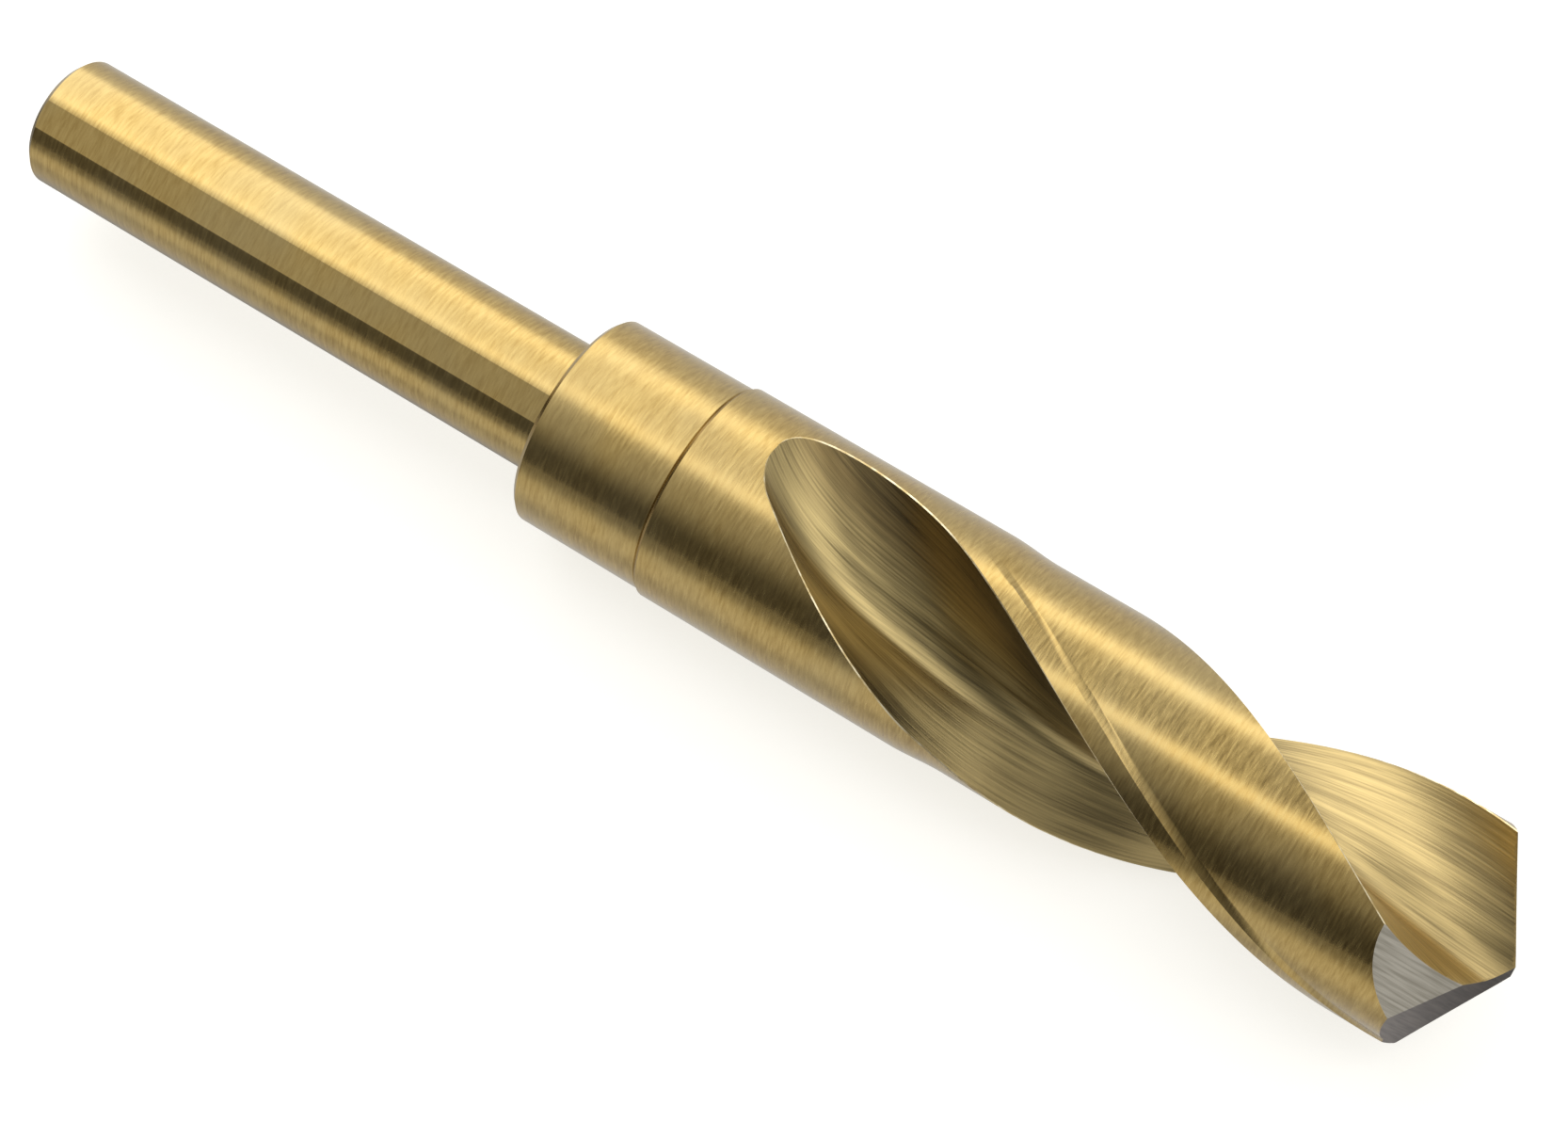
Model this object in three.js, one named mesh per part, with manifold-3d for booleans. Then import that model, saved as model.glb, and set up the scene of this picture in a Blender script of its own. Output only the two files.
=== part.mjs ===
// Reduced-shank twist drill bit: a carbon-steel shank with its collar, and a high-speed-steel
// body with two right-hand flutes and a ground four-facet point. Units are millimetres.
// The drill lies along +X with its point at the +X end. Stations are distances from the
// shank's rear face. Section angles are degrees from +Y towards +Z, seen from the shank.

import * as THREE from "three";
import { mergeVertices } from "three/addons/utils/BufferGeometryUtils.js";
import Module from "manifold-3d";

const wasm = await Module();
wasm.setup();

// Lengths and diameters
const overallLength = 152.4;
const shankDiameter = 12.7;
const shankLength = 58.5;
const shankChamfer = 0.6;
const collarDiameter = 20.35;
const collarLength = 13.1;
const collarChamfer = 0.45;
const bodyDiameter = 21.0;
const bodyChamfer = 0.35;
const weldGap = 0.3;

// Chuck flats
const flatCount = 3;
const flatHalfAngle = 12.6;
const firstFlatAngle = 121.4;
const slabThickness = 2;

// Flutes. The lip direction is the section's local X axis, and local Y points ahead of it,
// the way the drill turns.
const cornerStation = 146.6;
const lipDirection = 211.4;
const helixRate = 3.13;
const lipOffset = 1.25;
const lipCotangent = 0.6;
const leadingRadii = [10.5, 9.2, 7.6, 6, 4.6, 3.4, 2.5];
const filletStart = 1.9;
const filletCorner = new THREE.Vector2(-0.5, 1);
const filletPull = 0.6;
const filletSteps = 8;
const wallRadius = 2.6;
const wallTilt = 7.5;
const wallReach = 1.4;
const fluteWidth = 100.3;
const webTaper = 0.037;
const liftStation = 97.5;
const liftRadius = 30.7;
const fluteEnd = 76;
const fluteStep = 1.5;

// Land relief behind the margins
const marginWidth = 11;
const reliefDepth = 0.3;
const reliefStart = 98;
const reliefFade = 5;
const reliefSpan = 92;
const reliefOverlap = 2;
const reliefStep = 2;
const reliefSteps = 9;
const skinClearance = 0.05;

// Point. Each flank has two flat facets. A facet drops from the apex by this much for each
// millimetre along the flank's own X axis and behind it, and by a fixed amount.
const flankDirection = 209.1;
const primaryFacet = { along: 0.572, behind: 0.317, fixed: 0 };
const secondaryFacet = { along: 0.137, behind: 1.302, fixed: -3.003 };
const facetReach = 22;
const facetHeight = 30;

// How far cutters and blanks run past the part
const overrun = 1;

const segments = 72;
const bodyRadius = bodyDiameter / 2;
const outerReach = bodyRadius * 1.3;
const degrees = Math.PI / 180;
const seamStation = shankLength + collarLength;

function polar(radius, angle) {
  return new THREE.Vector2(radius * Math.cos(angle * degrees), radius * Math.sin(angle * degrees));
}

// A closed geometry as a solid, turned the right way out.
function solid(geometry) {
  const bare = geometry.clone();
  bare.deleteAttribute("normal");
  bare.deleteAttribute("uv");
  const merged = mergeVertices(bare, 1e-4);
  const vertProperties = new Float32Array(merged.attributes.position.array);
  const triVerts = new Uint32Array(merged.index.array);
  let volume = 0;
  const a = new THREE.Vector3();
  const b = new THREE.Vector3();
  const c = new THREE.Vector3();
  for (let i = 0; i < triVerts.length; i += 3) {
    a.fromArray(vertProperties, 3 * triVerts[i]);
    b.fromArray(vertProperties, 3 * triVerts[i + 1]);
    c.fromArray(vertProperties, 3 * triVerts[i + 2]);
    volume += a.dot(b.cross(c));
  }
  if (volume < 0) {
    for (let i = 0; i < triVerts.length; i += 3) {
      [triVerts[i], triVerts[i + 1]] = [triVerts[i + 1], triVerts[i]];
    }
  }
  const kept = [];
  for (let i = 0; i < triVerts.length; i += 3) {
    const [p, q, r] = triVerts.subarray(i, i + 3);
    if (p !== q && q !== r && r !== p) kept.push(p, q, r);
  }
  return new wasm.Manifold(
    new wasm.Mesh({ numProp: 3, vertProperties, triVerts: Uint32Array.from(kept) }),
  );
}

function geometryOf(manifold) {
  const mesh = manifold.getMesh();
  const geometry = new THREE.BufferGeometry();
  geometry.setAttribute("position", new THREE.BufferAttribute(mesh.vertProperties, 3));
  geometry.setIndex(new THREE.BufferAttribute(mesh.triVerts, 1));
  return geometry;
}

// A turned solid: the profile lists [station, radius] from the axis back to the axis.
// The facets are turned by half a step, so that a flat one is underneath.
function turned(profile) {
  const points = profile.map(([station, radius]) => new THREE.Vector2(radius, station));
  const lathe = new THREE.LatheGeometry(points, segments, Math.PI / segments);
  lathe.rotateZ(-Math.PI / 2);
  return solid(lathe);
}

// A section's own triangles, each counter-clockwise from +Y towards +Z.
function capTriangles(ring) {
  return THREE.ShapeUtils.triangulateShape(ring, []).map(([p, q, r]) => {
    const ahead = ring[q].clone().sub(ring[p]).cross(ring[r].clone().sub(ring[p])) > 0;
    return ahead ? [p, q, r] : [p, r, q];
  });
}

// A solid through matching closed sections: sectionAt(station) gives points in the plane
// across the drill.
function lofted(stations, sectionAt) {
  const rings = stations.map((station) => {
    const ring = sectionAt(station);
    return THREE.ShapeUtils.isClockWise(ring) ? ring.reverse() : ring;
  });
  const count = rings[0].length;
  const positions = [];
  rings.forEach((ring, i) => {
    ring.forEach((point) => positions.push(stations[i], point.x, point.y));
  });
  const faces = [];
  for (let i = 0; i + 1 < rings.length; i++) {
    for (let j = 0; j < count; j++) {
      const k = (j + 1) % count;
      const [p, q, r, s] = [i * count + j, i * count + k, (i + 1) * count + k, (i + 1) * count + j];
      faces.push(p, q, r, p, r, s);
    }
  }
  const last = (rings.length - 1) * count;
  for (const [p, q, r] of capTriangles(rings[0])) faces.push(q, p, r);
  for (const [p, q, r] of capTriangles(rings.at(-1))) faces.push(last + p, last + q, last + r);
  const geometry = new THREE.BufferGeometry();
  geometry.setAttribute("position", new THREE.Float32BufferAttribute(positions, 3));
  geometry.setIndex(faces);
  return solid(geometry);
}

function stationsFrom(start, end, step) {
  const count = Math.ceil((end - start) / step);
  return Array.from({ length: count + 1 }, (_, i) => start + ((end - start) * i) / count);
}

// How far the flute's floor has risen at a station: the web thickens towards the shank, and
// the grinding wheel leaves the work along an arc.
function fluteLift(station) {
  const taper = webTaper * (cornerStation - station);
  const along = Math.max(0, liftStation - station);
  return taper + liftRadius - Math.sqrt(liftRadius ** 2 - along ** 2);
}

// Angle of the flute's leading wall on the drill's outside, ahead of the lip direction.
function leadingAngle(station) {
  return Math.asin(Math.min(1, (lipOffset + fluteLift(station)) / bodyRadius)) / degrees;
}

function sectionTurn(station) {
  return lipDirection + helixRate * (station - cornerStation);
}

// The leading wall is hollow in section, so that the lip where the point cuts it is straight.
function leadingWallPoint(radius) {
  const along = Math.sqrt(radius ** 2 - lipOffset ** 2);
  const cornerAlong = Math.sqrt(bodyRadius ** 2 - lipOffset ** 2);
  const lag = helixRate * lipCotangent * (cornerAlong - along);
  return polar(radius, Math.asin(lipOffset / radius) / degrees - lag);
}

// The flute's section: the leading wall, the fillet at its floor and the straight heel wall.
function fluteProfile() {
  const heelAngle = Math.asin(lipOffset / bodyRadius) / degrees + fluteWidth;
  const floor = leadingWallPoint(filletStart);
  const wall = polar(wallRadius, heelAngle + wallTilt);
  const fillet = new THREE.CubicBezierCurve(
    floor,
    floor.clone().lerp(filletCorner, filletPull),
    wall.clone().lerp(filletCorner, filletPull),
    wall,
  );
  const outer = [0.75, 0.5, 0.25].map((share) => polar(outerReach, heelAngle * share));
  return [
    new THREE.Vector2(outerReach, lipOffset),
    ...leadingRadii.map(leadingWallPoint),
    ...fillet.getPoints(filletSteps),
    wall.clone().lerp(polar(bodyRadius, heelAngle), wallReach),
    ...outer,
  ];
}

function fluteCutter(turn) {
  const stations = stationsFrom(fluteEnd, overallLength + overrun, fluteStep);
  return lofted(stations, (station) => {
    const spin = (sectionTurn(station) + turn) * degrees;
    const lift = new THREE.Vector2(0, fluteLift(station));
    return fluteProfile().map((point) =>
      point.add(lift).rotateAround(new THREE.Vector2(), spin),
    );
  });
}

// The ring sector taken off a land behind its margin, from the margin back past the heel.
function reliefCutter(turn) {
  const stations = stationsFrom(reliefStart, overallLength + overrun, reliefStep);
  return lofted(stations, (station) => {
    const start = leadingAngle(station) - marginWidth;
    const end = start - reliefSpan;
    const fade = THREE.MathUtils.smoothstep(station, reliefStart, reliefStart + reliefFade);
    const inner = bodyRadius + skinClearance - (reliefDepth + skinClearance) * fade;
    const points = [];
    for (let i = 0; i <= reliefSteps; i++) {
      const share = i / reliefSteps;
      points.push(polar(inner, start - reliefOverlap + (end - start + reliefOverlap) * share));
    }
    for (let i = 0; i <= reliefSteps; i++) {
      points.push(polar(outerReach, end + ((start - end) * i) / reliefSteps));
    }
    const spin = (sectionTurn(station) + turn) * degrees;
    return points.map((point) => point.rotateAround(new THREE.Vector2(), spin));
  });
}

// Everything above one facet of the point, as a slanted box.
function facetCutter({ along, behind, fixed }, turn) {
  const corners = [-135, -45, 45, 135].map((angle) => polar(facetReach, angle));
  const spin = (flankDirection + turn) * degrees;
  const positions = [];
  for (const height of [0, facetHeight]) {
    for (const corner of corners) {
      const drop = along * corner.x - behind * corner.y + fixed;
      const place = corner.clone().rotateAround(new THREE.Vector2(), spin);
      positions.push(overallLength + height - drop, place.x, place.y);
    }
  }
  const faces = [0, 2, 1, 0, 3, 2, 4, 5, 6, 4, 6, 7];
  for (let i = 0; i < 4; i++) {
    const k = (i + 1) % 4;
    faces.push(i, k, 4 + k, i, 4 + k, 4 + i);
  }
  const geometry = new THREE.BufferGeometry();
  geometry.setAttribute("position", new THREE.Float32BufferAttribute(positions, 3));
  geometry.setIndex(faces);
  return solid(geometry);
}

function shankWithCollar() {
  const shankRadius = shankDiameter / 2;
  const collarRadius = collarDiameter / 2;
  const collarEnd = seamStation - weldGap / 2;
  let blank = turned([
    [0, 0],
    [0, shankRadius - shankChamfer],
    [shankChamfer, shankRadius],
    [shankLength, shankRadius],
    [shankLength, collarRadius - collarChamfer],
    [shankLength + collarChamfer, collarRadius],
    [collarEnd, collarRadius],
    [collarEnd, 0],
  ]);
  const flatDistance = shankRadius * Math.cos(flatHalfAngle * degrees);
  for (let i = 0; i < flatCount; i++) {
    const slab = new THREE.BoxGeometry(shankLength + overrun, slabThickness, shankRadius);
    slab.translate((shankLength - overrun) / 2, flatDistance + slabThickness / 2, 0);
    slab.rotateX((firstFlatAngle + (360 * i) / flatCount) * degrees);
    blank = blank.subtract(solid(slab));
  }
  return geometryOf(blank);
}

function flutedBody() {
  const start = seamStation + weldGap / 2;
  let body = turned([
    [start, 0],
    [start, bodyRadius - bodyChamfer],
    [start + bodyChamfer, bodyRadius],
    [overallLength + overrun / 2, bodyRadius],
    [overallLength + overrun / 2, 0],
  ]);
  for (const turn of [0, 180]) {
    body = body.subtract(fluteCutter(turn));
    body = body.subtract(reliefCutter(turn));
    body = body.subtract(facetCutter(primaryFacet, turn));
    body = body.subtract(facetCutter(secondaryFacet, turn));
  }
  return geometryOf(body);
}

const bronzeShank = new THREE.MeshStandardMaterial({ color: 0xa88f55, roughness: 0.32, metalness: 1 });
const bronzeBody = new THREE.MeshStandardMaterial({ color: 0xa58b4c, roughness: 0.38, metalness: 1 });

const drill = new THREE.Group();
drill.position.set(-overallLength / 2, 0, bodyRadius * Math.cos(Math.PI / segments));

const shank = new THREE.Mesh(shankWithCollar(), bronzeShank);
shank.name = "shank_with_collar";
drill.add(shank);

const body = new THREE.Mesh(flutedBody(), bronzeBody);
body.name = "fluted_body";
drill.add(body);

export default drill;
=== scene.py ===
import math

import bmesh
import bpy
from mathutils import Matrix, Vector
from mathutils.geometry import interpolate_bezier


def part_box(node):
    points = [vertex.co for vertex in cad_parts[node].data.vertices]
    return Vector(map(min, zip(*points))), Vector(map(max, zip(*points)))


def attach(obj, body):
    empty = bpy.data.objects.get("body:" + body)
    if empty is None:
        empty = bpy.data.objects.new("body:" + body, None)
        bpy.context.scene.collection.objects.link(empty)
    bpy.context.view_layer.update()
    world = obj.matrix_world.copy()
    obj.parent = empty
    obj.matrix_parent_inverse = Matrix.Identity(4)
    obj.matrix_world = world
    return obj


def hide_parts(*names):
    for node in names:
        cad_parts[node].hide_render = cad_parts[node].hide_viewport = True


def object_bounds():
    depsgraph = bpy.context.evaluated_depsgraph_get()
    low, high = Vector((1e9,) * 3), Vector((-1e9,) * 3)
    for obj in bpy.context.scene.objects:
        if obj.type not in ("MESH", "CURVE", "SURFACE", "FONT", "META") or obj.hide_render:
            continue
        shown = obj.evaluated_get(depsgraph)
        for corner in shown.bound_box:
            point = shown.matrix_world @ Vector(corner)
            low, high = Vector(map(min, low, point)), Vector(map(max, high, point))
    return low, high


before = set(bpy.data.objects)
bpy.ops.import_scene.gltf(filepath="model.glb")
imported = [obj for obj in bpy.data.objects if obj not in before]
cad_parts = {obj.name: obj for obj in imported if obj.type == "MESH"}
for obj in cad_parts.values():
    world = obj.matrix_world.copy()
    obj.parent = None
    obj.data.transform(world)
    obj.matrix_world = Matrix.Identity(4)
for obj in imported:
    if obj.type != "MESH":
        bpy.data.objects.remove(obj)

cad_low, cad_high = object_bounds()

# Shank and collar. One carbon-steel piece turned from bar: a 12.7 mm shank with three flats milled
# along it for the jaws of a chuck, and the wider collar that the fluted body is welded to. It is
# cylindrically ground, then heated until a thin bronze oxide covers it.
MM = 0.001
STATION_ZERO = cad_low.x
AXIS_HEIGHT = (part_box("fluted_body")[0].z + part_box("fluted_body")[1].z) / 2

SHANK_RADIUS = 6.35
SHANK_LENGTH = 58.5
SHANK_CHAMFER = 0.6
COLLAR_RADIUS = 10.175
COLLAR_CHAMFER = 0.4
COLLAR_FRONT_CHAMFER = 0.12
SEAM_STATION = 71.6
FLAT_DISTANCE = SHANK_RADIUS * math.cos(math.radians(12.6))
FLAT_ANGLES = (121.4, 241.4, 1.4)
TURNED_STEPS = 180


def srgb(code):
    """An sRGB hex colour as the linear colour that a shader takes."""
    parts = [int(code[i : i + 2], 16) / 255 for i in (1, 3, 5)]
    return [c / 12.92 if c <= 0.04045 else ((c + 0.055) / 1.055) ** 2.4 for c in parts] + [1]


def add_node(tree, kind, settings=None, sockets=None):
    """Adds a node. Settings are its own properties; a socket gets a value, or a link."""
    made = tree.nodes.new(kind)
    for name, value in (settings or {}).items():
        setattr(made, name, value)
    for name, value in (sockets or {}).items():
        if isinstance(value, bpy.types.NodeSocket):
            tree.links.new(value, made.inputs[name])
        else:
            made.inputs[name].default_value = value
    return made


def lay_stops(ramp, stops):
    """Gives a colour ramp its stops, each a place from 0 to 1 and a colour, in rising order."""
    made = ramp.color_ramp.elements
    for number, (place, colour) in enumerate(stops):
        stop = made[number] if number < 2 else made.new(place)
        stop.position = place
        stop.color = colour


def empty_material(name):
    """A new material with its node tree, cleared for the nodes that follow."""
    material = bpy.data.materials.new(name)
    material.use_nodes = True
    material.node_tree.nodes.clear()
    return material, material.node_tree


def mixed_colours(tree, blend, first, second, amount):
    """Blends two colours, each a value or a socket, and gives the socket of the result."""
    made = add_node(tree, "ShaderNodeMix", {"data_type": "RGBA", "blend_type": blend})
    inks = [socket for socket in made.inputs if socket.type == "RGBA"]
    for socket, value in zip([made.inputs["Factor"]] + inks, (amount, first, second)):
        if isinstance(value, bpy.types.NodeSocket):
            tree.links.new(value, socket)
        else:
            socket.default_value = value
    return [socket for socket in made.outputs if socket.type == "RGBA"][0]


def across_drill(radius, angle):
    """The point of a section at a radius and at an angle from +Y towards +Z, in degrees."""
    turn = math.radians(angle)
    return Vector((0, radius * math.cos(turn), radius * math.sin(turn)))


def finished_piece(bm, name, materials, sharp_angle):
    """Turns a mesh made in millimetres from the shank's rear end into a piece in the row frame."""
    bmesh.ops.recalc_face_normals(bm, faces=bm.faces)
    bmesh.ops.scale(bm, vec=(MM, MM, MM), verts=bm.verts)
    bmesh.ops.translate(bm, vec=(STATION_ZERO, 0, AXIS_HEIGHT), verts=bm.verts)
    for face in bm.faces:
        face.smooth = True
    mesh = bpy.data.meshes.new(name)
    bm.to_mesh(mesh)
    bm.free()
    for material in materials:
        mesh.materials.append(material)
    mesh.set_sharp_from_angle(angle=math.radians(sharp_angle))
    piece = bpy.data.objects.new(name, mesh)
    bpy.context.scene.collection.objects.link(piece)
    return piece


def ground_bronze(name, roughness, line_width, line_length, line_height):
    """Steel ground round its axis, under a thin bronze oxide: a warm metal, crossed by fine lines."""
    material, tree = empty_material(name)
    place = add_node(tree, "ShaderNodeTexCoord")
    along, round_axis = 1 / (line_width * MM), 1 / (line_length * MM)
    lines = add_node(
        tree,
        "ShaderNodeMapping",
        {},
        {"Vector": place.outputs["Object"], "Scale": (along, round_axis, round_axis)},
    )
    grain = add_node(
        tree,
        "ShaderNodeTexNoise",
        {},
        {"Vector": lines.outputs[0], "Scale": 1.0, "Detail": 3.0, "Roughness": 0.6},
    )
    blotch_size = 1 / (9 * MM)
    blotches = add_node(
        tree,
        "ShaderNodeTexNoise",
        {},
        {"Vector": place.outputs["Object"], "Scale": blotch_size, "Detail": 2.0},
    )
    tones = add_node(tree, "ShaderNodeValToRGB", {}, {"Fac": grain.outputs["Fac"]})
    lay_stops(tones, [(0.3, srgb("#a1854a")), (0.7, srgb("#c0a566"))])
    amount = add_node(
        tree,
        "ShaderNodeMapRange",
        {},
        {"Value": blotches.outputs["Fac"], "From Min": 0.4, "From Max": 0.8, "To Max": 0.45},
    )
    greyer = mixed_colours(tree, "MIX", tones.outputs["Color"], srgb("#a89a72"), amount.outputs[0])
    worn = add_node(
        tree,
        "ShaderNodeMapRange",
        {},
        {
            "Value": grain.outputs["Fac"],
            "From Min": 0.3,
            "From Max": 0.7,
            "To Min": roughness - 0.05,
            "To Max": roughness + 0.07,
        },
    )
    bump = add_node(
        tree,
        "ShaderNodeBump",
        {},
        {"Height": grain.outputs["Fac"], "Strength": 1.0, "Distance": line_height * MM},
    )
    grooves = add_node(tree, "ShaderNodeTangent", {"direction_type": "RADIAL", "axis": "X"})
    shader = add_node(
        tree,
        "ShaderNodeBsdfPrincipled",
        {},
        {
            "Base Color": greyer,
            "Metallic": 1.0,
            "Roughness": worn.outputs[0],
            "Anisotropic": 0.5,
            "Anisotropic Rotation": 0.25,
            "Coat Weight": 0.25,
            "Coat Roughness": 0.3,
            "Normal": bump.outputs[0],
            "Tangent": grooves.outputs[0],
        },
    )
    add_node(tree, "ShaderNodeOutputMaterial", {}, {"Surface": shader.outputs[0]})
    return material


turned = bmesh.new()
outline = [
    (0, SHANK_RADIUS - SHANK_CHAMFER),
    (SHANK_CHAMFER, SHANK_RADIUS),
    (SHANK_LENGTH, SHANK_RADIUS),
]
points = [turned.verts.new((station, radius, 0)) for station, radius in outline]
edges = [turned.edges.new(pair) for pair in zip(points, points[1:])]
bmesh.ops.spin(
    turned,
    geom=points + edges,
    cent=(0, 0, 0),
    axis=(1, 0, 0),
    angle=math.tau,
    steps=TURNED_STEPS,
    use_merge=True,
)
bmesh.ops.remove_doubles(turned, verts=turned.verts, dist=0.001)
bmesh.ops.holes_fill(turned, edges=turned.edges, sides=0)
for angle in FLAT_ANGLES:
    cut = bmesh.ops.bisect_plane(
        turned,
        geom=turned.verts[:] + turned.edges[:] + turned.faces[:],
        plane_co=across_drill(FLAT_DISTANCE, angle),
        plane_no=across_drill(1, angle),
        clear_outer=True,
    )
    rim = [item for item in cut["geom_cut"] if isinstance(item, bmesh.types.BMEdge)]
    bmesh.ops.edgeloop_fill(turned, edges=rim)

# The collar's rear face is filled from the shank's front rim out to a circle, so that the two are
# one skin, and its side and front grow from that circle.
front = [f for f in turned.faces if all(v.co.x > SHANK_LENGTH - 0.01 for v in f.verts)]
bmesh.ops.delete(turned, geom=front, context="FACES_ONLY")
rim = [e for e in turned.edges if e.is_boundary]
collar = bmesh.ops.create_circle(
    turned,
    radius=COLLAR_RADIUS - COLLAR_CHAMFER,
    segments=TURNED_STEPS,
    matrix=Matrix.Translation((SHANK_LENGTH, 0, 0)) @ Matrix.Rotation(math.pi / 2, 4, "Y"),
)
loop = list({e for v in collar["verts"] for e in v.link_edges})
bmesh.ops.triangle_fill(turned, edges=rim + loop, use_beauty=True, normal=(-1, 0, 0))
collar_outline = [
    (SHANK_LENGTH + COLLAR_CHAMFER, COLLAR_RADIUS),
    (SEAM_STATION - COLLAR_FRONT_CHAMFER, COLLAR_RADIUS),
    (SEAM_STATION, COLLAR_RADIUS - COLLAR_FRONT_CHAMFER),
]
for station, radius in collar_outline:
    grown = bmesh.ops.extrude_edge_only(turned, edges=loop)["geom"]
    loop = [item for item in grown if isinstance(item, bmesh.types.BMEdge)]
    for vert in (item for item in grown if isinstance(item, bmesh.types.BMVert)):
        outwards = Vector((0, vert.co.y, vert.co.z)).normalized()
        vert.co = outwards * radius + Vector((station, 0, 0))
    loop = [e for e in loop if all(abs(v.co.x - station) < 0.001 for v in e.verts)]
bmesh.ops.edgeloop_fill(turned, edges=loop)

shank_finish = ground_bronze("bronze_oxide_on_turned_steel", 0.2, 0.25, 1.8, 0.006)
shank = finished_piece(turned, "shank_and_collar", [shank_finish], 8)
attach(shank, "root")
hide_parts("shank_with_collar")

# Fluted body. High-speed steel ground all over: a 21 mm cylinder with two right-hand flutes that a
# wheel cuts from the point back until it lifts out, lands eased behind a narrow margin, and a point
# whose flanks are ground after the oxide, so they are bare.
BODY_RADIUS = 10.5
BODY_CHAMFER = 0.35
OVERALL_LENGTH = 152.4
BLANK_END = OVERALL_LENGTH + 1  # past the point, which is cut from it
CORNER_STATION = 146.6
FLANK_DIRECTION = 209.1
LIP_DIRECTION = 211.4
HELIX_RATE = 3.13
LIP_OFFSET = 1.25
LIP_COTANGENT = 0.6
FILLET_START = 1.9
FILLET_CORNER = Vector((-0.5, 1.0))
FILLET_PULL = 0.6
WALL_RADIUS = 2.6
WALL_TILT = 7.5
FLUTE_WIDTH = 100.3
WEB_TAPER = 0.037
LIFT_STATION = 97.5
LIFT_RADIUS = 30.7
PROFILE_REACH = 14
MARGIN_WIDTH = 11
RELIEF_DEPTH = 0.3
RAMP_WIDTH = 4
RELIEF_START = 98
RELIEF_FADE = 5
EDGE_BREAK = 0.1
FLUTE_INDEX = 1
BARE_INDEX = 2
EDGE_INDEX = 3
PRIMARY_INDEX = 4
FLUTE_SPANS = 60
LAND_SPANS = 56
MARGIN_SPANS = 8


def rotated(point, angle):
    """A point of a section turned about the axis by an angle in degrees."""
    turn = math.radians(angle)
    return Vector(
        (
            point.x * math.cos(turn) - point.y * math.sin(turn),
            point.x * math.sin(turn) + point.y * math.cos(turn),
        )
    )


def ray(radius, angle):
    """A point of a section at a radius and an angle, in the lip's own axes."""
    return rotated(Vector((radius, 0)), angle)


def leading_wall(radius):
    """The flute's leading wall is hollow, so that the lip where the point cuts it is straight."""
    outer = math.sqrt(BODY_RADIUS**2 - LIP_OFFSET**2)
    lag = HELIX_RATE * LIP_COTANGENT * (outer - math.sqrt(radius**2 - LIP_OFFSET**2))
    return ray(radius, math.degrees(math.asin(LIP_OFFSET / radius)) - lag)


def wheel_profile():
    """The flute's whole section, from outside the leading edge round to outside the heel."""
    heel = math.degrees(math.asin(LIP_OFFSET / BODY_RADIUS)) + FLUTE_WIDTH
    steps = 28
    inwards = [
        leading_wall(PROFILE_REACH + (FILLET_START - PROFILE_REACH) * i / steps)
        for i in range(steps + 1)
    ]
    floor, wall = inwards[-1], ray(WALL_RADIUS, heel + WALL_TILT)
    fillet = interpolate_bezier(
        floor,
        floor.lerp(FILLET_CORNER, FILLET_PULL),
        wall.lerp(FILLET_CORNER, FILLET_PULL),
        wall,
        24,
    )
    outside = wall + (ray(BODY_RADIUS, heel) - wall) * 2
    return inwards + [Vector(p[:2]) for p in fillet[1:]] + [outside]


def flute_lift(station):
    """How far the floor has risen: the web thickens, then the wheel leaves along an arc."""
    along = max(0, LIFT_STATION - station)
    return WEB_TAPER * (CORNER_STATION - station) + LIFT_RADIUS - math.sqrt(LIFT_RADIUS**2 - along**2)


def relief(station):
    """How far the land is eased there: nothing at the plain rear, then all of it."""
    share = min(1, max(0, (station - RELIEF_START) / RELIEF_FADE))
    return RELIEF_DEPTH * share * share * (3 - 2 * share)


def crossing(inside, outside, radius):
    """Where a straight line leaves a circle about the axis."""
    step = outside - inside
    b, c = inside.dot(step), inside.length_squared - radius**2
    return inside + step * ((-b + math.sqrt(b * b - step.length_squared * c)) / step.length_squared)


WHEEL_PROFILE = wheel_profile()


def open_flute(station):
    """The flute's section inside the body as [point, distance round the wheel], or nothing."""
    lift = Vector((0, flute_lift(station)))
    profile = [p + lift for p in WHEEL_PROFILE]
    inside = [i for i, p in enumerate(profile) if p.length < BODY_RADIUS]
    if len(inside) < 2:
        return []
    first, last = inside[0], inside[-1]
    start = crossing(profile[first], profile[first - 1], BODY_RADIUS)
    end = crossing(profile[last], profile[last + 1], BODY_RADIUS - relief(station))
    line = [start] + profile[first : last + 1] + [end]
    walked = [0]
    for p, q in zip(line, line[1:]):
        walked.append(walked[-1] + (q - p).length)
    skipped = sum((q - p).length for p, q in zip(profile[: first + 1], profile[1 : first + 1]))
    skipped -= (profile[first] - start).length
    brk = min(EDGE_BREAK, walked[-1] / 6)
    spaced = []
    for i in range(FLUTE_SPANS + 1):
        goal = brk + (walked[-1] - 2 * brk) * i / FLUTE_SPANS
        k = max(j for j, w in enumerate(walked[:-1]) if w <= goal)
        share = (goal - walked[k]) / max(walked[k + 1] - walked[k], 1e-9)
        spaced.append((line[k].lerp(line[k + 1], share), goal + skipped))
    return [start, end, spaced]


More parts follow.
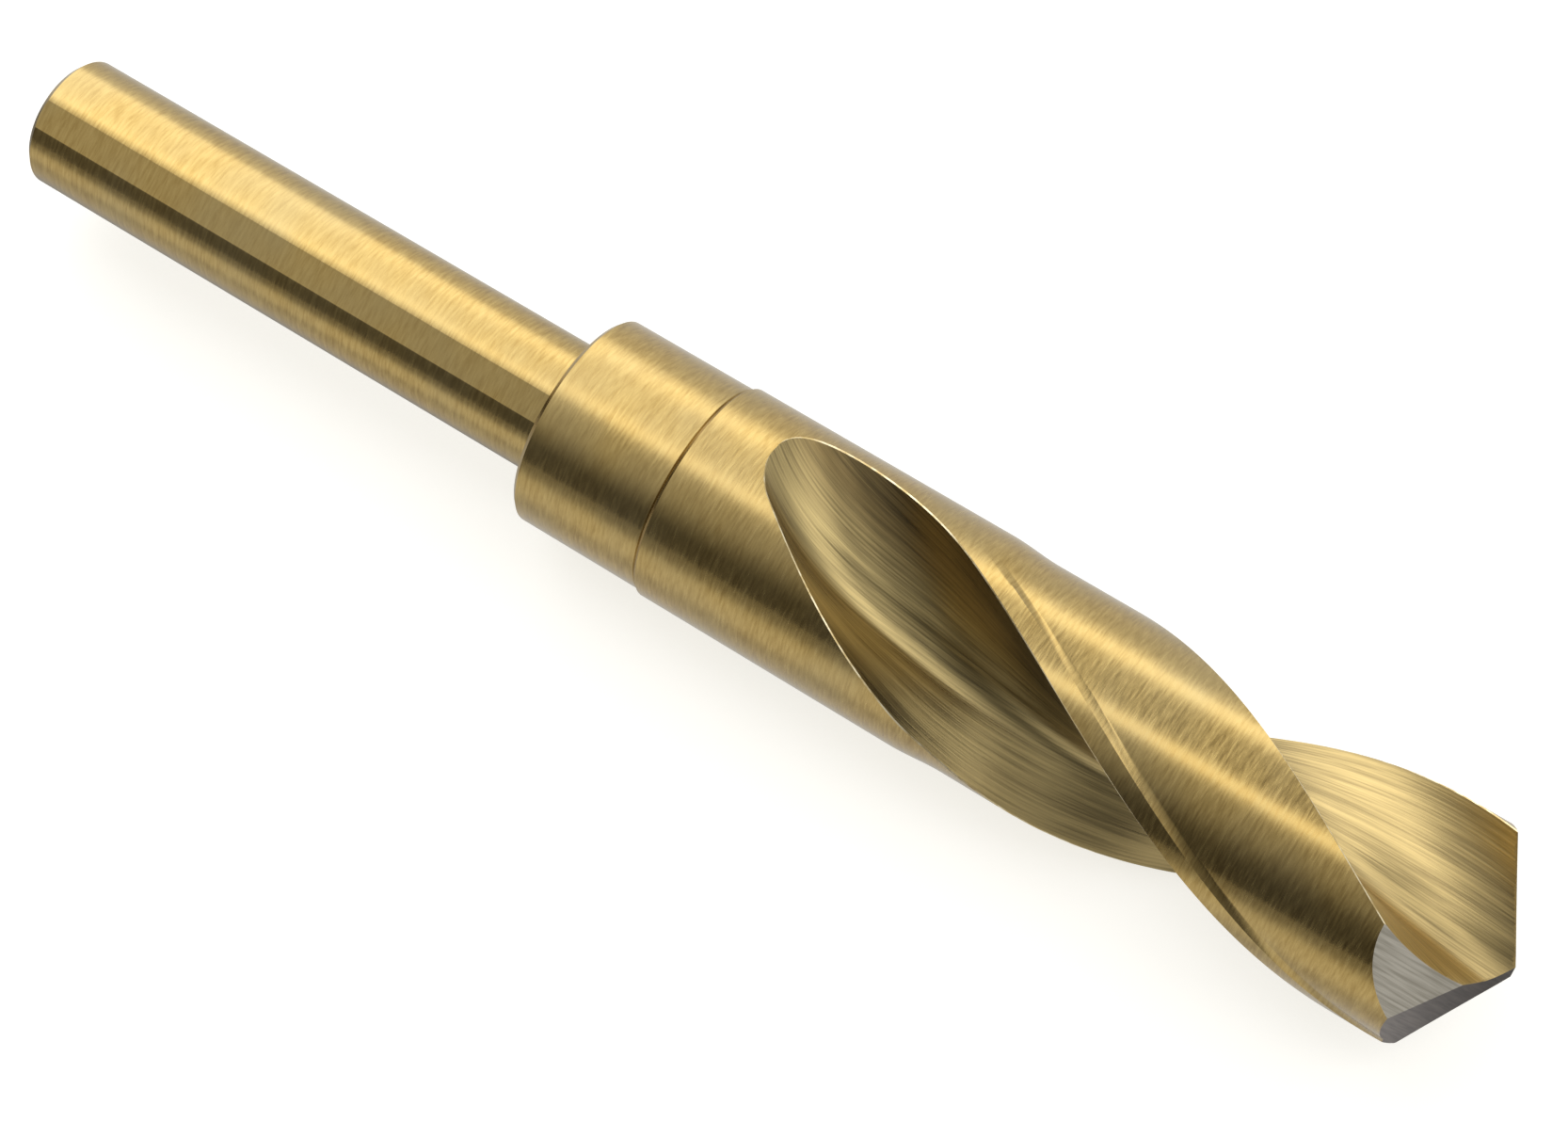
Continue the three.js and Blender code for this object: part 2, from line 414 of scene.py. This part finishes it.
def section(station):
    """One ring of the body in the lip's own axes: [point, distance round the wheel] in turn."""
    start, end, spaced = open_flute(station)
    lead = math.degrees(math.atan2(start.y, start.x))
    heel = math.degrees(math.atan2(end.y, end.x))
    brk = math.degrees(min(EDGE_BREAK, (start - end).length / 6) / BODY_RADIUS)
    step = lead + 180 - MARGIN_WIDTH
    low = BODY_RADIUS - relief(station)
    land_start = heel + brk
    half = list(spaced)
    for i in range(LAND_SPANS + 1):
        half.append((ray(low, land_start + (step - RAMP_WIDTH - land_start) * i / LAND_SPANS), 0))
    for i in range(MARGIN_SPANS + 1):
        half.append((ray(BODY_RADIUS, step + (MARGIN_WIDTH - brk) * i / MARGIN_SPANS), 0))
    return half + [(rotated(p, 180), walked) for p, walked in half]


# The flute's rear end is where its section shrinks to nothing.
low, high = LIFT_STATION - LIFT_RADIUS + 0.5, LIFT_STATION
for _ in range(40):
    middle = (low + high) / 2
    low, high = (low, middle) if open_flute(middle) else (middle, high)
FLUTE_END = high

# Rings along the body, closer where the flutes run out and near the point.
plain_step = 0.8
plain_end = FLUTE_END - 0.9
plain_stations = [SEAM_STATION, SEAM_STATION + BODY_CHAMFER]
while plain_stations[-1] < plain_end:
    plain_stations.append(plain_stations[-1] + plain_step)
leaf_steps, leaf_length = 26, 4
leaf_stations = [FLUTE_END + leaf_length * (i / leaf_steps) ** 2 for i in range(leaf_steps + 1)]
long_steps, point_steps = 110, 75
fine_length = 8
fine_from = CORNER_STATION - fine_length
long_stations = [
    leaf_stations[-1] + (fine_from - leaf_stations[-1]) * i / long_steps
    for i in range(1, long_steps + 1)
]
long_stations += [
    fine_from + (BLANK_END - fine_from) * i / point_steps for i in range(1, point_steps + 1)
]

fluted = bmesh.new()
place_layer = fluted.verts.layers.int.new("place")
wheel_layer = fluted.verts.layers.float.new("round_wheel")
half_count = FLUTE_SPANS + LAND_SPANS + MARGIN_SPANS + 3
ring_count = 2 * half_count
ring = [fluted.verts.new() for _ in range(ring_count)]
for place, vert in enumerate(ring):
    vert[place_layer] = place
loop = [fluted.edges.new((ring[i - 1], ring[i])) for i in range(ring_count)]


def lay_ring(verts, station, radius=None):
    """Moves a ring to its section; radius makes it a plain circle, behind the flutes."""
    flute_station = max(station, FLUTE_END)
    spin = LIP_DIRECTION + HELIX_RATE * (flute_station - CORNER_STATION)
    laid = section(flute_station)
    for vert in verts:
        point, walked = laid[vert[place_layer]]
        point = rotated(point, spin)
        if radius:
            point = point.normalized() * radius
        vert.co = (station, point.x, point.y)
        vert[wheel_layer] = walked


plain_radii = [BODY_RADIUS - BODY_CHAMFER] + [BODY_RADIUS] * (len(plain_stations) - 1)
lay_ring(ring, plain_stations[0], plain_radii[0])
schedule = list(zip(plain_stations, plain_radii))[1:]
schedule += [(station, None) for station in leaf_stations + long_stations]
for station, radius in schedule:
    grown = bmesh.ops.extrude_edge_only(fluted, edges=loop)["geom"]
    verts = [item for item in grown if isinstance(item, bmesh.types.BMVert)]
    lay_ring(verts, station, radius)
    new = set(verts)
    loop = [e for e in grown if isinstance(e, bmesh.types.BMEdge) and set(e.verts) <= new]
bmesh.ops.edgeloop_fill(fluted, edges=loop)
for face in fluted.faces:
    if face.calc_center_median().x < FLUTE_END:
        continue
    places = {v[place_layer] % half_count for v in face.verts}
    if max(places) <= FLUTE_SPANS:
        face.material_index = FLUTE_INDEX
    elif places in ({FLUTE_SPANS, FLUTE_SPANS + 1}, {0, half_count - 1}):
        face.material_index = EDGE_INDEX
bmesh.ops.remove_doubles(fluted, verts=fluted.verts, dist=0.002)
rear = [e for e in fluted.edges if e.is_boundary]
bmesh.ops.edgeloop_fill(fluted, edges=rear)

# The point: each flank has two flat facets. A facet drops from the apex by so much for each
# millimetre along the flank's direction and behind it, and by a fixed amount.
FACETS = [
    (PRIMARY_INDEX, 0.572, 0.317, 0),
    (BARE_INDEX, 0.137, 1.302, -3.003),
]
POINT_BLANK_RADIUS = 14
POINT_BLANK_LENGTH = 100

pointed = bmesh.new()
bmesh.ops.create_cone(
    pointed,
    cap_ends=True,
    segments=64,
    radius1=POINT_BLANK_RADIUS,
    radius2=POINT_BLANK_RADIUS,
    depth=POINT_BLANK_LENGTH,
    matrix=Matrix.Translation((OVERALL_LENGTH + POINT_BLANK_RADIUS - POINT_BLANK_LENGTH / 2, 0, 0))
    @ Matrix.Rotation(math.pi / 2, 4, "Y"),
)
for turn in (0, 180):
    ahead = across_drill(1, FLANK_DIRECTION + turn)
    backwards = across_drill(1, FLANK_DIRECTION + turn - 90)
    for index, along_drop, behind_drop, fixed_drop in FACETS:
        cut = bmesh.ops.bisect_plane(
            pointed,
            geom=pointed.verts[:] + pointed.edges[:] + pointed.faces[:],
            plane_co=Vector((OVERALL_LENGTH - fixed_drop, 0, 0)),
            plane_no=Vector((1, 0, 0)) + ahead * along_drop + backwards * behind_drop,
            clear_outer=True,
        )
        rim = [item for item in cut["geom_cut"] if isinstance(item, bmesh.types.BMEdge)]
        for face in bmesh.ops.edgeloop_fill(pointed, edges=rim)["faces"]:
            face.material_index = index


# The flute's colour round the wheel's path, as [mm from the leading edge, colour]: bronze oxide,
# painted darker on the rake side as painted shade under the leading edge, and painted lighter on the
# floor and up to the heel as painted light. Near the point all of it is painted lighter, a painted
# highlight where the scoop faces the light.
WHEEL_TRAVEL = 24
FLUTE_OXIDE_AND_PAINTED_LIGHT = [
    (0, "#6f6040"),
    (8, "#84734c"),
    (12, "#c6b480"),
    (24, "#bdab7a"),
]
POINT_PAINTED_LIGHT = "#c6b27e"
POINT_PAINTED_LIGHT_FROM, POINT_PAINTED_LIGHT_TO = 110, 127


def flute_bronze_with_painted_light(name):
    """Steel cut by a wheel along the helix, under the same oxide: long streaks down the flute, and
    painted shade and painted light across it.
    """
    material, tree = empty_material(name)
    place = add_node(tree, "ShaderNodeTexCoord")
    split = add_node(tree, "ShaderNodeSeparateXYZ", {}, {"Vector": place.outputs["Object"]})
    wheel = add_node(tree, "ShaderNodeAttribute", {"attribute_name": "round_wheel"})
    streaks = []
    for width, length, detail in ((0.2, 9, 3), (1.3, 30, 1)):
        along = add_node(
            tree,
            "ShaderNodeMath",
            {"operation": "MULTIPLY"},
            {0: split.outputs["X"], 1: 1 / (length * MM)},
        )
        across = add_node(
            tree,
            "ShaderNodeMath",
            {"operation": "MULTIPLY"},
            {0: wheel.outputs["Fac"], 1: 1 / width},
        )
        joined = add_node(
            tree,
            "ShaderNodeCombineXYZ",
            {},
            {"X": along.outputs[0], "Y": across.outputs[0]},
        )
        streaks.append(
            add_node(
                tree,
                "ShaderNodeTexNoise",
                {"noise_dimensions": "2D"},
                {"Vector": joined.outputs[0], "Scale": 1.0, "Detail": detail, "Roughness": 0.6},
            )
        )
    both = add_node(
        tree,
        "ShaderNodeMix",
        {},
        {"Factor": 0.4, "A": streaks[0].outputs["Fac"], "B": streaks[1].outputs["Fac"]},
    )
    tones = add_node(tree, "ShaderNodeValToRGB", {}, {"Fac": both.outputs[0]})
    lay_stops(tones, [(0.35, srgb("#b8b3aa")), (0.65, srgb("#fcf7ec"))])
    round_share = add_node(
        tree,
        "ShaderNodeMath",
        {"operation": "DIVIDE"},
        {0: wheel.outputs["Fac"], 1: WHEEL_TRAVEL},
    )
    # Painted shade and light: this ramp paints the rake side darker and the floor and heel lighter, and
    # near the point all of the flute is painted lighter.
    oxide = add_node(tree, "ShaderNodeValToRGB", {}, {"Fac": round_share.outputs[0]})
    lay_stops(oxide, [(distance / WHEEL_TRAVEL, srgb(colour)) for distance, colour in FLUTE_OXIDE_AND_PAINTED_LIGHT])
    near_point = add_node(
        tree,
        "ShaderNodeMapRange",
        {"interpolation_type": "SMOOTHSTEP"},
        {
            "Value": split.outputs["X"],
            "From Min": STATION_ZERO + POINT_PAINTED_LIGHT_FROM * MM,
            "From Max": STATION_ZERO + POINT_PAINTED_LIGHT_TO * MM,
        },
    )
    placed = mixed_colours(tree, "MIX", oxide.outputs["Color"], srgb(POINT_PAINTED_LIGHT), near_point.outputs[0])
    tinted = mixed_colours(tree, "MULTIPLY", placed, tones.outputs["Color"], 1.0)
    worn = add_node(
        tree,
        "ShaderNodeMapRange",
        {},
        {"Value": both.outputs[0], "From Min": 0.3, "From Max": 0.7, "To Min": 0.26, "To Max": 0.4},
    )
    bump = add_node(
        tree,
        "ShaderNodeBump",
        {},
        {"Height": both.outputs[0], "Strength": 1.0, "Distance": 0.03 * MM},
    )
    shader = add_node(
        tree,
        "ShaderNodeBsdfPrincipled",
        {},
        {
            "Base Color": tinted,
            "Metallic": 1.0,
            "Roughness": worn.outputs[0],
            "Coat Weight": 0.3,
            "Coat Roughness": 0.35,
            "Normal": bump.outputs[0],
        },
    )
    add_node(tree, "ShaderNodeOutputMaterial", {}, {"Surface": shader.outputs[0]})
    return material


def bare_steel(name, dark, light):
    """Point flanks straight off the wheel: bare grey steel with fine near-parallel lines."""
    material, tree = empty_material(name)
    place = add_node(tree, "ShaderNodeTexCoord")
    lines = add_node(
        tree,
        "ShaderNodeMapping",
        {"vector_type": "TEXTURE"},
        {
            "Vector": place.outputs["Object"],
            "Rotation": (math.radians(23.6), 0, 0),
            "Scale": (5 * MM, 0.25 * MM, 5 * MM),
        },
    )
    grain = add_node(
        tree,
        "ShaderNodeTexNoise",
        {},
        {"Vector": lines.outputs[0], "Scale": 1.0, "Detail": 2.0},
    )
    tones = add_node(tree, "ShaderNodeValToRGB", {}, {"Fac": grain.outputs["Fac"]})
    lay_stops(tones, [(0.35, srgb(dark)), (0.65, srgb(light))])
    bump = add_node(
        tree,
        "ShaderNodeBump",
        {},
        {"Height": grain.outputs["Fac"], "Strength": 1.0, "Distance": 0.008 * MM},
    )
    shader = add_node(
        tree,
        "ShaderNodeBsdfPrincipled",
        {},
        {
            "Base Color": tones.outputs["Color"],
            "Metallic": 1.0,
            "Roughness": 0.36,
            "Normal": bump.outputs[0],
        },
    )
    add_node(tree, "ShaderNodeOutputMaterial", {}, {"Surface": shader.outputs[0]})
    return material


def rubbed_and_highlighted_edge(name):
    """Edges where handling and chips have rubbed the oxide thin, also painted lighter as a painted
    highlight: brighter and smoother.
    """
    material, tree = empty_material(name)
    place = add_node(tree, "ShaderNodeTexCoord")
    nick_size = 1 / (1.2 * MM)
    nicks = add_node(
        tree,
        "ShaderNodeTexNoise",
        {},
        {"Vector": place.outputs["Object"], "Scale": nick_size, "Detail": 2.0},
    )
    tones = add_node(tree, "ShaderNodeValToRGB", {}, {"Fac": nicks.outputs["Fac"]})
    # Painted highlight: the edge strips are painted lighter than the oxide beside them.
    lay_stops(tones, [(0.4, srgb("#c9b27e")), (0.6, srgb("#f0e2bd"))])
    shader = add_node(
        tree,
        "ShaderNodeBsdfPrincipled",
        {},
        {"Base Color": tones.outputs["Color"], "Metallic": 1.0, "Roughness": 0.4},
    )
    add_node(tree, "ShaderNodeOutputMaterial", {}, {"Surface": shader.outputs[0]})
    return material


body_finishes = [
    ground_bronze("bronze_oxide_on_ground_steel", 0.21, 0.22, 1.8, 0.01),
    flute_bronze_with_painted_light("bronze_oxide_in_ground_flute_with_painted_shade_and_light"),
    bare_steel("bare_ground_high_speed_steel", "#a09a8c", "#c2bcae"),
    rubbed_and_highlighted_edge("bronze_oxide_rubbed_and_painted_highlight_at_edges"),
    # The primary facets are painted darker grey: painted shade standing in for the shadowed floor they
    # reflect.
    bare_steel("bare_high_speed_steel_with_painted_shade", "#6b625c", "#857b73"),
]
blank = finished_piece(fluted, "fluted_blank", body_finishes, 30)
point_shape = finished_piece(pointed, "point_shape", body_finishes, 30)
cut = blank.modifiers.new("point", "BOOLEAN")
cut.object = point_shape
cut.operation = "INTERSECT"
cut.solver = "EXACT"
bpy.context.view_layer.update()
cut_blank = blank.evaluated_get(bpy.context.evaluated_depsgraph_get())
body_mesh = bpy.data.meshes.new_from_object(cut_blank)
body_mesh.name = "welded_fluted_body"
body_mesh.set_sharp_from_angle(angle=math.radians(24))
facets = bmesh.new()
facets.from_mesh(body_mesh)
for edge in facets.edges:
    finishes = {face.material_index for face in edge.link_faces}
    if len(finishes) > 1 and finishes & {BARE_INDEX, PRIMARY_INDEX}:
        edge.smooth = False
facets.to_mesh(body_mesh)
facets.free()
body = bpy.data.objects.new("welded_fluted_body", body_mesh)
bpy.context.scene.collection.objects.link(body)
for spent in (blank, point_shape):
    bpy.data.objects.remove(spent)
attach(body, "root")
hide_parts("fluted_body")

# Floor. A plain white sheet, big enough to fill every view. Seen straight on it glows a little, so
# that shadows stay pale; to every other ray it is a painted reflection: a pale painted pool of light
# round the drill that fades outwards, darkest right under the drill as painted shade.
sheet = bmesh.new()
bmesh.ops.create_grid(sheet, x_segments=1, y_segments=1, size=2.0)
floor_mesh = bpy.data.meshes.new("floor")
sheet.to_mesh(floor_mesh)
sheet.free()
floor_paint, paint_tree = empty_material("white_floor_with_painted_reflection")
sheet_place = add_node(paint_tree, "ShaderNodeTexCoord")
sheet_parts = add_node(
    paint_tree, "ShaderNodeSeparateXYZ", {}, {"Vector": sheet_place.outputs["Object"]}
)
POOL_REACH = 150
POOL = [
    (-150, 0.32),
    (-81, 0.48),
    (-60, 0.75),
    (-42, 0.9),
    (-27, 0.88),
    (-20, 0.62),
    (-13, 0.68),
    (-9, 0.6),
    (-5, 0.35),
    (0, 0.2),
    (4, 0.35),
    (10, 0.65),
    (20, 0.72),
    (100, 0.85),
    (150, 0.9),
]
share = add_node(
    paint_tree,
    "ShaderNodeMapRange",
    {},
    {"Value": sheet_parts.outputs["Y"], "From Min": -POOL_REACH * MM, "From Max": POOL_REACH * MM},
)
pool = add_node(paint_tree, "ShaderNodeValToRGB", {}, {"Fac": share.outputs[0]})
lay_stops(pool, [((y + POOL_REACH) / (2 * POOL_REACH), [level] * 3 + [1]) for y, level in POOL])
# Painted reflection: every ray but the camera's sees this emission, a painted pool of light with
# painted shade under the drill.
mirrored = add_node(paint_tree, "ShaderNodeEmission", {}, {"Color": pool.outputs["Color"]})
direct = add_node(
    paint_tree,
    "ShaderNodeBsdfPrincipled",
    {},
    {
        "Base Color": srgb("#a4a4a4"),
        "Roughness": 0.9,
        "Emission Color": srgb("#fffdf6"),
        "Emission Strength": 0.78,
    },
)
looked_at = add_node(paint_tree, "ShaderNodeLightPath")
sheet_look = add_node(
    paint_tree,
    "ShaderNodeMixShader",
    {},
    {0: looked_at.outputs["Is Camera Ray"], 1: mirrored.outputs[0], 2: direct.outputs[0]},
)
add_node(paint_tree, "ShaderNodeOutputMaterial", {}, {"Surface": sheet_look.outputs[0]})
floor_mesh.materials.append(floor_paint)
floor = bpy.data.objects.new("floor", floor_mesh)
bpy.context.scene.collection.objects.link(floor)

# Light. A soft wash round the drill's axis: bright from behind up to overhead and dim in front.
# From the shank's side it is one wide box, across the drill two with a dim gap, from the point's
# side a lower pair, and end-on an even glow. Stops are degrees up from the back and a brightness.
SHANK_SIDE = [
    (0, 1.0),
    (14, 1.2),
    (24, 2.3),
    (60, 2.3),
    (78, 2.4),
    (90, 2.7),
    (97, 1.8),
    (104, 0.95),
    (120, 0.76),
    (130, 0.72),
    (140, 0.48),
    (149, 0.3),
    (158, 0.14),
    (180, 0.14),
]
ACROSS = [
    (0, 0.85),
    (16, 0.95),
    (27, 1.5),
    (33, 2.6),
    (41, 2.4),
    (49, 1.1),
    (58, 0.55),
    (80, 0.4),
    (88, 0.8),
    (93, 2.2),
    (99, 2.5),
    (104, 1.2),
    (111, 0.6),
    (130, 0.38),
    (145, 0.17),
    (158, 0.08),
    (180, 0.08),
]
POINT_SIDE = [
    (0, 0.8),
    (16, 0.6),
    (25, 0.55),
    (40, 0.85),
    (50, 1.3),
    (57, 2.1),
    (68, 1.5),
    (77, 2.2),
    (84, 1.6),
    (91, 0.7),
    (98, 0.42),
    (108, 0.6),
    (120, 0.55),
    (137, 0.22),
    (160, 0.2),
    (180, 0.15),
]
END_ON = [
    (0, 0.6),
    (147, 0.85),
    (180, 0.6),
]
world = bpy.data.worlds.new("studio_light")
world.use_nodes = True
sky = world.node_tree
sky.nodes.clear()
towards = add_node(sky, "ShaderNodeTexCoord")
parts = add_node(sky, "ShaderNodeSeparateXYZ", {}, {"Vector": towards.outputs["Generated"]})
height = add_node(
    sky,
    "ShaderNodeMath",
    {"operation": "ARCTAN2"},
    {0: parts.outputs["Z"], 1: parts.outputs["Y"]},
)
half_turns = add_node(
    sky, "ShaderNodeMath", {"operation": "MULTIPLY"}, {0: height.outputs[0], 1: 1 / math.pi}
)
SIDES = [SHANK_SIDE, ACROSS, POINT_SIDE, END_ON]
BLENDS = [(-0.45, -0.08), (0.0, 0.22), (0.72, 0.84)]
brightest = max(level for stops in SIDES for _, level in stops)
washes = []
for stops in SIDES:
    wash = add_node(sky, "ShaderNodeValToRGB", {}, {"Fac": half_turns.outputs[0]})
    lay_stops(wash, [(degrees / 180, [level / brightest] * 3 + [1]) for degrees, level in stops])
    washes.append(wash.outputs["Color"])
light = washes[0]
for wash, (start, end) in zip(washes[1:], BLENDS):
    share = add_node(
        sky,
        "ShaderNodeMapRange",
        {"interpolation_type": "SMOOTHSTEP"},
        {"Value": parts.outputs["X"], "From Min": start, "From Max": end},
    )
    light = mixed_colours(sky, "MIX", light, wash, share.outputs[0])
behind_shank = add_node(
    sky,
    "ShaderNodeMapRange",
    {"interpolation_type": "SMOOTHSTEP"},
    {
        "Value": parts.outputs["X"],
        "From Min": -0.93,
        "From Max": -0.86,
        "To Min": 0.1,
        "To Max": brightest,
    },
)
lit = add_node(
    sky,
    "ShaderNodeBackground",
    {},
    {"Color": light, "Strength": behind_shank.outputs[0]},
)
seen = add_node(sky, "ShaderNodeLightPath")
plain = add_node(sky, "ShaderNodeBackground", {}, {"Color": srgb("#ffffff"), "Strength": 1.0})
shown = add_node(
    sky,
    "ShaderNodeMixShader",
    {},
    {0: seen.outputs["Is Camera Ray"], 1: lit.outputs[0], 2: plain.outputs[0]},
)
add_node(sky, "ShaderNodeOutputWorld", {}, {"Surface": shown.outputs[0]})
bpy.context.scene.world = world
bpy.context.scene.view_settings.view_transform = "Standard"

# Camera. It looks down on the drill from the front right, from about 29 cm away.
AZIMUTH, ELEVATION = math.radians(33.73), math.radians(62.526)
camera_data = bpy.data.cameras.new("camera")
camera_data.lens = 75.09
camera_data.sensor_width = 36
camera_data.clip_start = 0.01
camera = bpy.data.objects.new("camera", camera_data)
back = Vector(
    (
        math.sin(AZIMUTH) * math.cos(ELEVATION),
        -math.cos(AZIMUTH) * math.cos(ELEVATION),
        math.sin(ELEVATION),
    )
)
camera.location = Vector((0.0053, -0.0014, 0.0101)) + back * 0.286
camera.rotation_euler = (math.pi / 2 - ELEVATION, 0, AZIMUTH)
bpy.context.scene.collection.objects.link(camera)
bpy.context.scene.camera = camera
